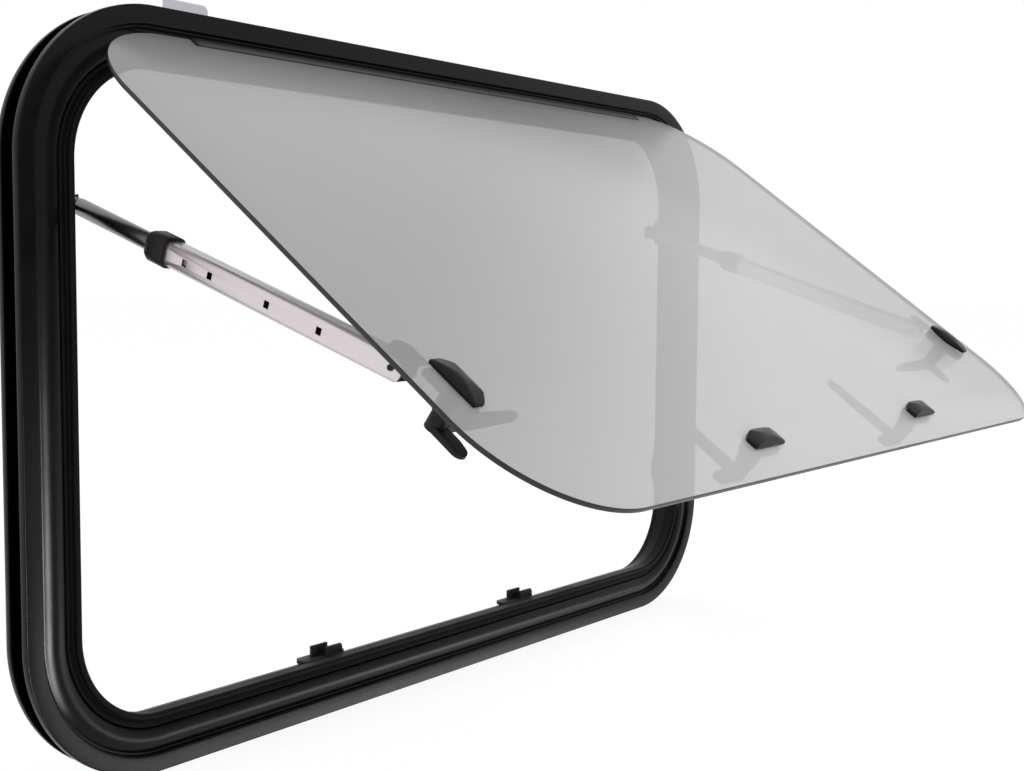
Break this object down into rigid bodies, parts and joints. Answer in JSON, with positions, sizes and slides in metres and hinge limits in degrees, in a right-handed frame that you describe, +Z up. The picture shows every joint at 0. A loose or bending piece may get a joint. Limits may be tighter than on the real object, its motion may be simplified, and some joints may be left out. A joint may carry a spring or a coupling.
{
  "type": "top-hung caravan window",
  "caption": "Top-hung caravan window: bent aluminium frame with inner clamp ring, smoked glass pane, telescopic stays and lever latches.",
  "frame": {"origin": "back face of the outer flange, where it seats on the wall, at the middle of its bottom run", "axes": "+X to the right seen from outside, +Y into the vehicle, +Z up"},
  "size_m": [0.94, 0.4742, 0.6021],
  "materials": {
    "black_frame": "satin black powder coat",
    "grey_extrusion": "dark anodised",
    "black_screw": "black oxide",
    "seal_rubber": "matt EPDM",
    "smoked_glass": "tinted, polished",
    "satin_tube": "satin anodised",
    "chrome_tube": "polished",
    "clip_metal": "zinc plated",
    "cap_plastic": "gloss black moulding",
    "black_plastic": "matt black moulding"
  },
  "bodies": {
    "root": {"outer_frame": "black_frame", "throat_frame": "black_frame", "clamp_frame": "black_frame", "clamp_screws": "black_screw", "glass_seal": "seal_rubber", "hinge_rail": "black_frame", "hinge_leaf": "grey_extrusion", "hinge_end_left": "black_plastic", "hinge_end_right": "black_plastic", "glass_pane": "smoked_glass", "latch_cap_left": "cap_plastic", "latch_cap_right": "cap_plastic", "latch_cap_bottom_left": "cap_plastic", "latch_cap_bottom_right": "cap_plastic", "latch_base_left": "black_plastic", "latch_base_right": "black_plastic", "latch_base_bottom_left": "black_plastic", "latch_base_bottom_right": "black_plastic", "keeper_left": "black_plastic", "keeper_right": "black_plastic", "keeper_bottom_left": "black_plastic", "keeper_bottom_right": "black_plastic", "stay_inner_tube_left": "chrome_tube", "stay_collar_left": "black_plastic", "stay_outer_tube_left": "satin_tube", "stay_frame_bracket_left": "black_plastic", "stay_pane_bracket_left": "black_plastic", "stay_inner_tube_right": "chrome_tube", "stay_collar_right": "black_plastic", "stay_outer_tube_right": "satin_tube", "stay_frame_bracket_right": "black_plastic", "stay_pane_bracket_right": "black_plastic", "top_clip": "clip_metal"},
    "lever_left": {"latch_lever_left": "black_plastic"},
    "lever_right": {"latch_lever_right": "black_plastic"},
    "lever_bottom_left": {"latch_lever_bottom_left": "black_plastic"},
    "lever_bottom_right": {"latch_lever_bottom_right": "black_plastic"}
  },
  "joints": [
    {"name": "lever_left_turn", "type": "hinge", "parent": "root", "child": "lever_left", "pos_m": [-0.398, -0.32772, 0.29186], "axis": [0, 0.585, -0.8111], "range_deg": [0, 90]},
    {"name": "lever_right_turn", "type": "hinge", "parent": "root", "child": "lever_right", "pos_m": [0.398, -0.32772, 0.29186], "axis": [0, -0.585, 0.8111], "range_deg": [0, 90]},
    {"name": "lever_bottom_left_turn", "type": "hinge", "parent": "root", "child": "lever_bottom_left", "pos_m": [-0.145, -0.39706, 0.24185], "axis": [0, -0.585, 0.8111], "range_deg": [0, 90]},
    {"name": "lever_bottom_right_turn", "type": "hinge", "parent": "root", "child": "lever_bottom_right", "pos_m": [0.145, -0.39706, 0.24185], "axis": [0, -0.585, 0.8111], "range_deg": [0, 90]}
  ]
}
